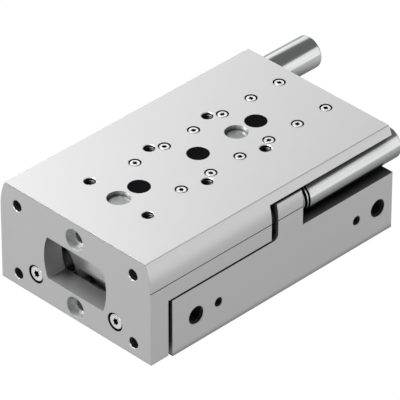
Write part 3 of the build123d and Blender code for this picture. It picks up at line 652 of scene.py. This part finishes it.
baseAxis = statedMount("base_thread_middle")[1]
baseHoles = [((0, y, baseRecess if y else 0), baseAxis) for y in mountingRows]
threadedHoles("baseThreads", "M8", holeDepth["base"], baseHoles, "housing_unit")
print("threads made")


# Turned linings of the centring recesses, with the fine rings that the tool left on their floors; the top
# ones are darker as painted shade

recess = dict(
    radius=5.98 * mm, thickness=0.08 * mm, mouth=0.33 * mm, ringStep=0.55 * mm, ringDepth=0.012 * mm,
    topDepth=2.59 * mm, frontDepth=3.99 * mm, frontPassage=3.33 * mm,
)


def recessLining(name, mountNames, depth, passage, finish):
    bm = bmesh.new()
    outer = recess["radius"]
    inner = outer - recess["thickness"]
    floor = recess["thickness"] - depth
    top = -recess["mouth"]
    step = recess["ringStep"]
    rings = range(int((inner - passage) / step))
    waves = [(passage + ring * step, floor - (ring % 2) * recess["ringDepth"]) for ring in rings]
    profile = waves + [(inner, floor), (inner, top), (outer, top), (outer, -depth), (passage, -depth)]
    for mountName in mountNames:
        middle, axis = statedMount(mountName)
        mouthPlane = tableTop if axis.z else -tableFront
        along = mouthPlane - middle.dot(axis)
        made = turnProfile(bm, profile, steps=128, closed=passage > 0)
        placeVerts(bm, made, facing(axis, middle + axis * along))
    newPiece(name, bm, "table_unit", special[finish])


recessLining(
    "tableRecesses", ["table_centring_front", "table_centring_rear"], recess["topDepth"], 0, "turnedTopPaintedShade",
)
recessLining(
    "plateRecesses", ["plate_centring_lower", "plate_centring_upper"], recess["frontDepth"],
    recess["frontPassage"], "turnedFront",
)
print("recesses made")


# Floor: pure pale to the camera, and a soft glow for what the metal picks up

floorLook = dict(size=6, under=0.1 * mm, seen=1.02, light=0.54, dark=0.51)


def makeFloor():
    bm = bmesh.new()
    bmesh.ops.create_grid(bm, x_segments=1, y_segments=1, size=floorLook["size"])
    bmesh.ops.translate(bm, vec=(0, 0, -floorLook["under"]), verts=bm.verts)
    mesh = bpy.data.meshes.new("floor")
    bm.to_mesh(mesh)
    bm.free()
    floor = bpy.data.objects.new("floor", mesh)
    bpy.context.scene.collection.objects.link(floor)
    material = bpy.data.materials.new("floor_finish")
    material.use_nodes = True
    tree = material.node_tree
    tree.nodes.clear()
    place = addNode(tree, "ShaderNodeTexCoord", (-700, -200))
    noise = addNode(tree, "ShaderNodeTexNoise", (-520, -200), Scale=3, Detail=2)
    tone = addNode(tree, "ShaderNodeMix", (-320, -200), data_type="RGBA")
    tone.inputs[6].default_value = [floorLook["dark"]] * 3 + [1]
    tone.inputs[7].default_value = [floorLook["light"]] * 3 + [1]
    cloth = addNode(tree, "ShaderNodeEmission", (-100, -200), Strength=1)
    glow = addNode(tree, "ShaderNodeEmission", (-100, -20), Color=(1, 1, 1, 1), Strength=floorLook["seen"])
    ray = addNode(tree, "ShaderNodeLightPath", (-100, 300))
    pick = addNode(tree, "ShaderNodeMixShader", (120, 0))
    output = addNode(tree, "ShaderNodeOutputMaterial", (320, 0))
    link = tree.links.new
    link(place.outputs["Object"], noise.inputs["Vector"])
    link(noise.outputs["Fac"], tone.inputs[0])
    link(tone.outputs[2], cloth.inputs["Color"])
    link(ray.outputs["Is Camera Ray"], pick.inputs["Fac"])
    link(cloth.outputs["Emission"], pick.inputs[1])
    link(glow.outputs["Emission"], pick.inputs[2])
    link(pick.outputs["Shader"], output.inputs["Surface"])
    mesh.materials.append(material)


makeFloor()

# Soft studio light: panels around the object, aimed at its middle unless they have a normal

panels = {
    "leftBand": dict(place=(-0.95, 0.65, 0.48), width=1.4, height=0.66, power=0.505, spread=80),
    "rightBand": dict(place=(0.95, 0.65, 0.35), width=1.5, height=0.7, power=1.0, spread=110),
    "rightFloor": dict(
        place=(0.5, 0.36, 0.004), width=0.68, height=0.9, power=1.0, spread=180,
        normal=(0, 0, 1),  # lies just over the floor and shines up
    ),
    "overhead": dict(place=(-0.26, -0.2, 0.55), width=0.35, height=0.35, power=9, spread=180),
    "cameraSide": dict(place=(0.62, -1.15, 0.62), width=0.5, height=0.5, power=3.2, spread=180),
}
worldLight = 0.13
aim = Vector((0, 0, 0.03))

for name, panel in panels.items():
    lamp = bpy.data.lights.new(name, "AREA")
    lamp.shape = "RECTANGLE"
    lamp.size = panel["width"]
    lamp.size_y = panel["height"]
    lamp.energy = panel["power"]
    lamp.spread = math.radians(panel["spread"])
    lampObject = bpy.data.objects.new(name, lamp)
    toward = aim - Vector(panel["place"]) if "normal" not in panel else Vector(panel["normal"])
    turn = toward.to_track_quat("-Z", "Y").to_matrix().to_4x4()
    lampObject.matrix_world = Matrix.Translation(panel["place"]) @ turn
    lampObject.visible_camera = False
    bpy.context.scene.collection.objects.link(lampObject)

world = bpy.data.worlds.new("studio")
bpy.context.scene.world = world
world.use_nodes = True
world.node_tree.nodes["Background"].inputs["Color"].default_value = (1, 1, 1, 1)
world.node_tree.nodes["Background"].inputs["Strength"].default_value = worldLight
bpy.context.scene.view_settings.view_transform = "Standard"
print("floor and lights ready")


# Camera at the photograph's angle

shot = dict(
    place=(1.3368, -1.3294, 1.3474), azimuth=45.13, elevation=34.91, lens=423.3, sensor=36, farthest=20,
)


def makeCamera():
    data = bpy.data.cameras.new("camera")
    data.lens = shot["lens"]
    data.sensor_width = shot["sensor"]
    data.clip_end = shot["farthest"]
    camera = bpy.data.objects.new("camera", data)
    turnUp = Matrix.Rotation(math.radians(90 - shot["elevation"]), 4, "X")
    turnRound = Matrix.Rotation(math.radians(shot["azimuth"]), 4, "Z")
    camera.matrix_world = Matrix.Translation(shot["place"]) @ turnRound @ turnUp
    bpy.context.scene.collection.objects.link(camera)
    bpy.context.scene.camera = camera


makeCamera()
print("camera ready")
